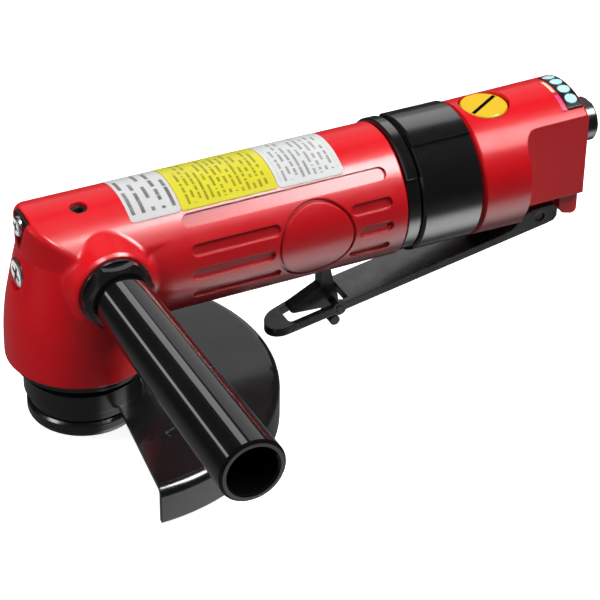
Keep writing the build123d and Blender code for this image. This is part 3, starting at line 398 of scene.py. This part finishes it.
# ---------------------------------------------------------------- floor and studio light
floor_me = bpy.data.meshes.new("floor")
floor_me.from_pydata([(-40, -40, -0.0042), (40, -40, -0.0042), (40, 40, -0.0042), (-40, 40, -0.0042)], [], [(0, 1, 2, 3)])
floor = bpy.data.objects.new("floor", floor_me)
bpy.context.scene.collection.objects.link(floor)
fm = Nodes("floor_white")
fm.set(Base_Color=fm.mix(fm.remap(fm.noise(6.0, 2.0), 0.3, 0.7, 0.0, 1.0), rgb(0.9, 0.9, 0.9), rgb(0.92, 0.92, 0.92)), Roughness=0.9,
       Emission_Color=rgb(1, 1, 1), Emission_Strength=0.88, Specular_IOR_Level=0.1)
floor_me.materials.append(fm.mat)
floor.visible_glossy = False  # the bench under the tool is dark in its paint
floor.visible_diffuse = False
floor.visible_shadow = False

# the room as the paint mirrors it: dark, with a pale sheet low in front (the pale backdrop behind is a card)
world = bpy.data.worlds.new("studio")
bpy.context.scene.world = world
world.use_nodes = True
world.cycles_visibility.diffuse = False
wt = world.node_tree
bg = wt.nodes["Background"]
way = wt.nodes.new("ShaderNodeTexCoord").outputs["Generated"]


def room(toward, lo, hi, amount):
    """Brightness that rises where the direction nears the one given (cosines lo to hi)."""
    d = wt.nodes.new("ShaderNodeVectorMath")
    d.operation = "DOT_PRODUCT"
    wt.links.new(way, d.inputs[0])
    d.inputs[1].default_value = Vector(toward).normalized()
    n = wt.nodes.new("ShaderNodeMapRange")
    n.interpolation_type = "SMOOTHSTEP"
    wt.links.new(d.outputs["Value"], n.inputs["Value"])
    for k, v in (("From Min", lo), ("From Max", hi), ("To Min", 0.0), ("To Max", amount)):
        n.inputs[k].default_value = v
    return n.outputs["Result"]


def join(op, a, b):
    n = wt.nodes.new("ShaderNodeMath")
    n.operation = op
    for s, v in zip(n.inputs, (a, b)):
        if isinstance(v, float):
            s.default_value = v
        else:
            wt.links.new(v, s)
    return n.outputs[0]


bench = room((0, 0, -1), 0.10, 0.50, 0.10)
sheet = join("MULTIPLY", room((0, 0, -1), 0.53, 0.74, 2.6), room((0, -1, 0), -0.15, 0.40, 1.0))
sheet = join("MULTIPLY", sheet, room((1, 0, 0), 0.05, 0.36, 1.0))
far_left = room((-1, 0, 0.25), 0.82, 0.97, 0.40)
wt.links.new(join("ADD", join("ADD", bench, 0.03), join("ADD", sheet, far_left)), bg.inputs["Strength"])
bg.inputs["Color"].default_value = (0.97, 0.97, 0.98, 1)


def soft_box(name, pos, target, size, power, lights=True, mirrors=True, skip=(), only=(), across=None):
    """Area lamp that lights matt surfaces, shows in gloss, or both. It can leave pieces alone (skip) or serve a few (only).
    across is the way that its first side runs."""
    data = bpy.data.lights.new(name, "AREA")
    data.shape = "RECTANGLE"
    data.size, data.size_y = size
    data.energy = power
    o = bpy.data.objects.new(name, data)
    z = (Vector(pos) - Vector(target)).normalized()
    x = Vector(across) if across else Vector((0, 0, 1)).cross(z)
    x = (x - z * x.dot(z)).normalized()
    y = z.cross(x)
    o.matrix_world = Matrix(((x.x, y.x, z.x, pos[0]), (x.y, y.y, z.y, pos[1]), (x.z, y.z, z.z, pos[2]), (0, 0, 0, 1)))
    o.visible_diffuse, o.visible_glossy = lights, mirrors
    bpy.context.scene.collection.objects.link(o)
    if skip or only:
        group = bpy.data.collections.new(name + "_pieces")
        for i, piece in enumerate(skip or only):
            group.objects.link(bpy.data.objects[piece] if piece not in NODES else NODES[piece])
            group.collection_objects[i].light_linking.link_state = "EXCLUDE" if skip else "INCLUDE"
        o.light_linking.receiver_collection = group


MIDDLE = (0.08, 0.0, 0.06)
LEVERS = ("throttle_lever", "lock_latch")
soft_box("key", (0.50, -0.42, 0.98), MIDDLE, (0.9, 0.34), 10.5, mirrors=False)
soft_box("top", (0.05, 0.30, 1.15), MIDDLE, (0.8, 0.5), 7.0, mirrors=False)
soft_box("left", (-1.0, 0.05, 0.40), (0.0, 0.0, 0.03), (0.25, 0.6), 6.0, mirrors=False)
soft_box("front", (-0.30, -1.10, 0.25), MIDDLE, (0.8, 0.8), 1.5, mirrors=False)
soft_box("behind", (0.30, 1.10, 0.35), MIDDLE, (0.8, 0.8), 3.0, mirrors=False)
soft_box("backdrop", (0.52, 0.85, 0.61), MIDDLE, (0.85, 0.85), 0.9, lights=False, skip=("side_handle", "handle_locknut", "guard"))
soft_box("guard_back", (0.40, 0.87, 0.35), (0.03, -0.05, 0.012), (0.9, 0.7), 1.4, lights=False, only=("guard",))
soft_box("rim_light", (-0.73, 0.04, 0.74), (-0.015, -0.01, 0.008), (0.3, 0.3), 3.4, lights=False, only=("inner_flange", "flange_nut", "bearing_cap"))
soft_box("glint", (-0.15, -0.53, 0.89), (-0.014, -0.014, 0.082), (0.30, 0.26), 6.5, lights=False, only=("front_housing",))
soft_box("band", (0.63, -0.45, 0.96), (0.10, 0.0, 0.06), (0.42, 0.62), 22.0, lights=False,
         skip=("exhaust_collar", "exhaust_ring", "side_handle", "handle_locknut", "handle_housing", "label_white", "label_yellow", "label_silver"))
soft_box("rear_band", (0.65, -0.45, 0.96), (0.16, 0.0, 0.06), (0.42, 0.62), 7.5, lights=False, only=("handle_housing",))
soft_box("collar_back", (0.58, 0.70, 0.74), (0.13, 0.0, 0.08), (0.6, 0.6), 1.15, lights=False, only=("exhaust_collar", "exhaust_ring"))
soft_box("lever_back", (0.40, 0.76, 0.70), (0.12, 0.0, 0.025), (0.5, 0.4), 0.70, lights=False, only=LEVERS)
soft_box("screw_light", (-0.18, 0.47, -0.26), (-0.02, 0.0, 0.07), (0.35, 0.35), 0.35, lights=False, only=("head_screws",))


def streak(name, a0, a1, brightness):
    """Card that the side handle mirrors between the angles a0 and a1 about its axis (degrees, 90 = its top)."""
    spot = Vector((0.0033, -0.085, ZM + 0.0024))
    v = (cam_pos - spot).normalized()

    def mirrored(a):
        n = Vector((math.cos(math.radians(a)), 0, math.sin(math.radians(a))))
        return 2 * n.dot(v) * n - v

    mid = (a0 + a1) / 2
    wide = 2.1 * math.tan(math.radians(a1 - a0))
    soft_box(name, spot + 1.05 * mirrored(mid), spot, (wide, 0.5), brightness * math.pi * wide * 0.5, lights=False,
             only=("side_handle", "handle_locknut"), across=mirrored(a1) - mirrored(a0))


streak("streak_right", 72.0, 89.0, 0.75)
streak("streak_mid", 99.0, 106.0, 2.6)
streak("streak_left", 134.5, 137.5, 3.4)

bpy.context.scene.view_settings.view_transform = "Standard"
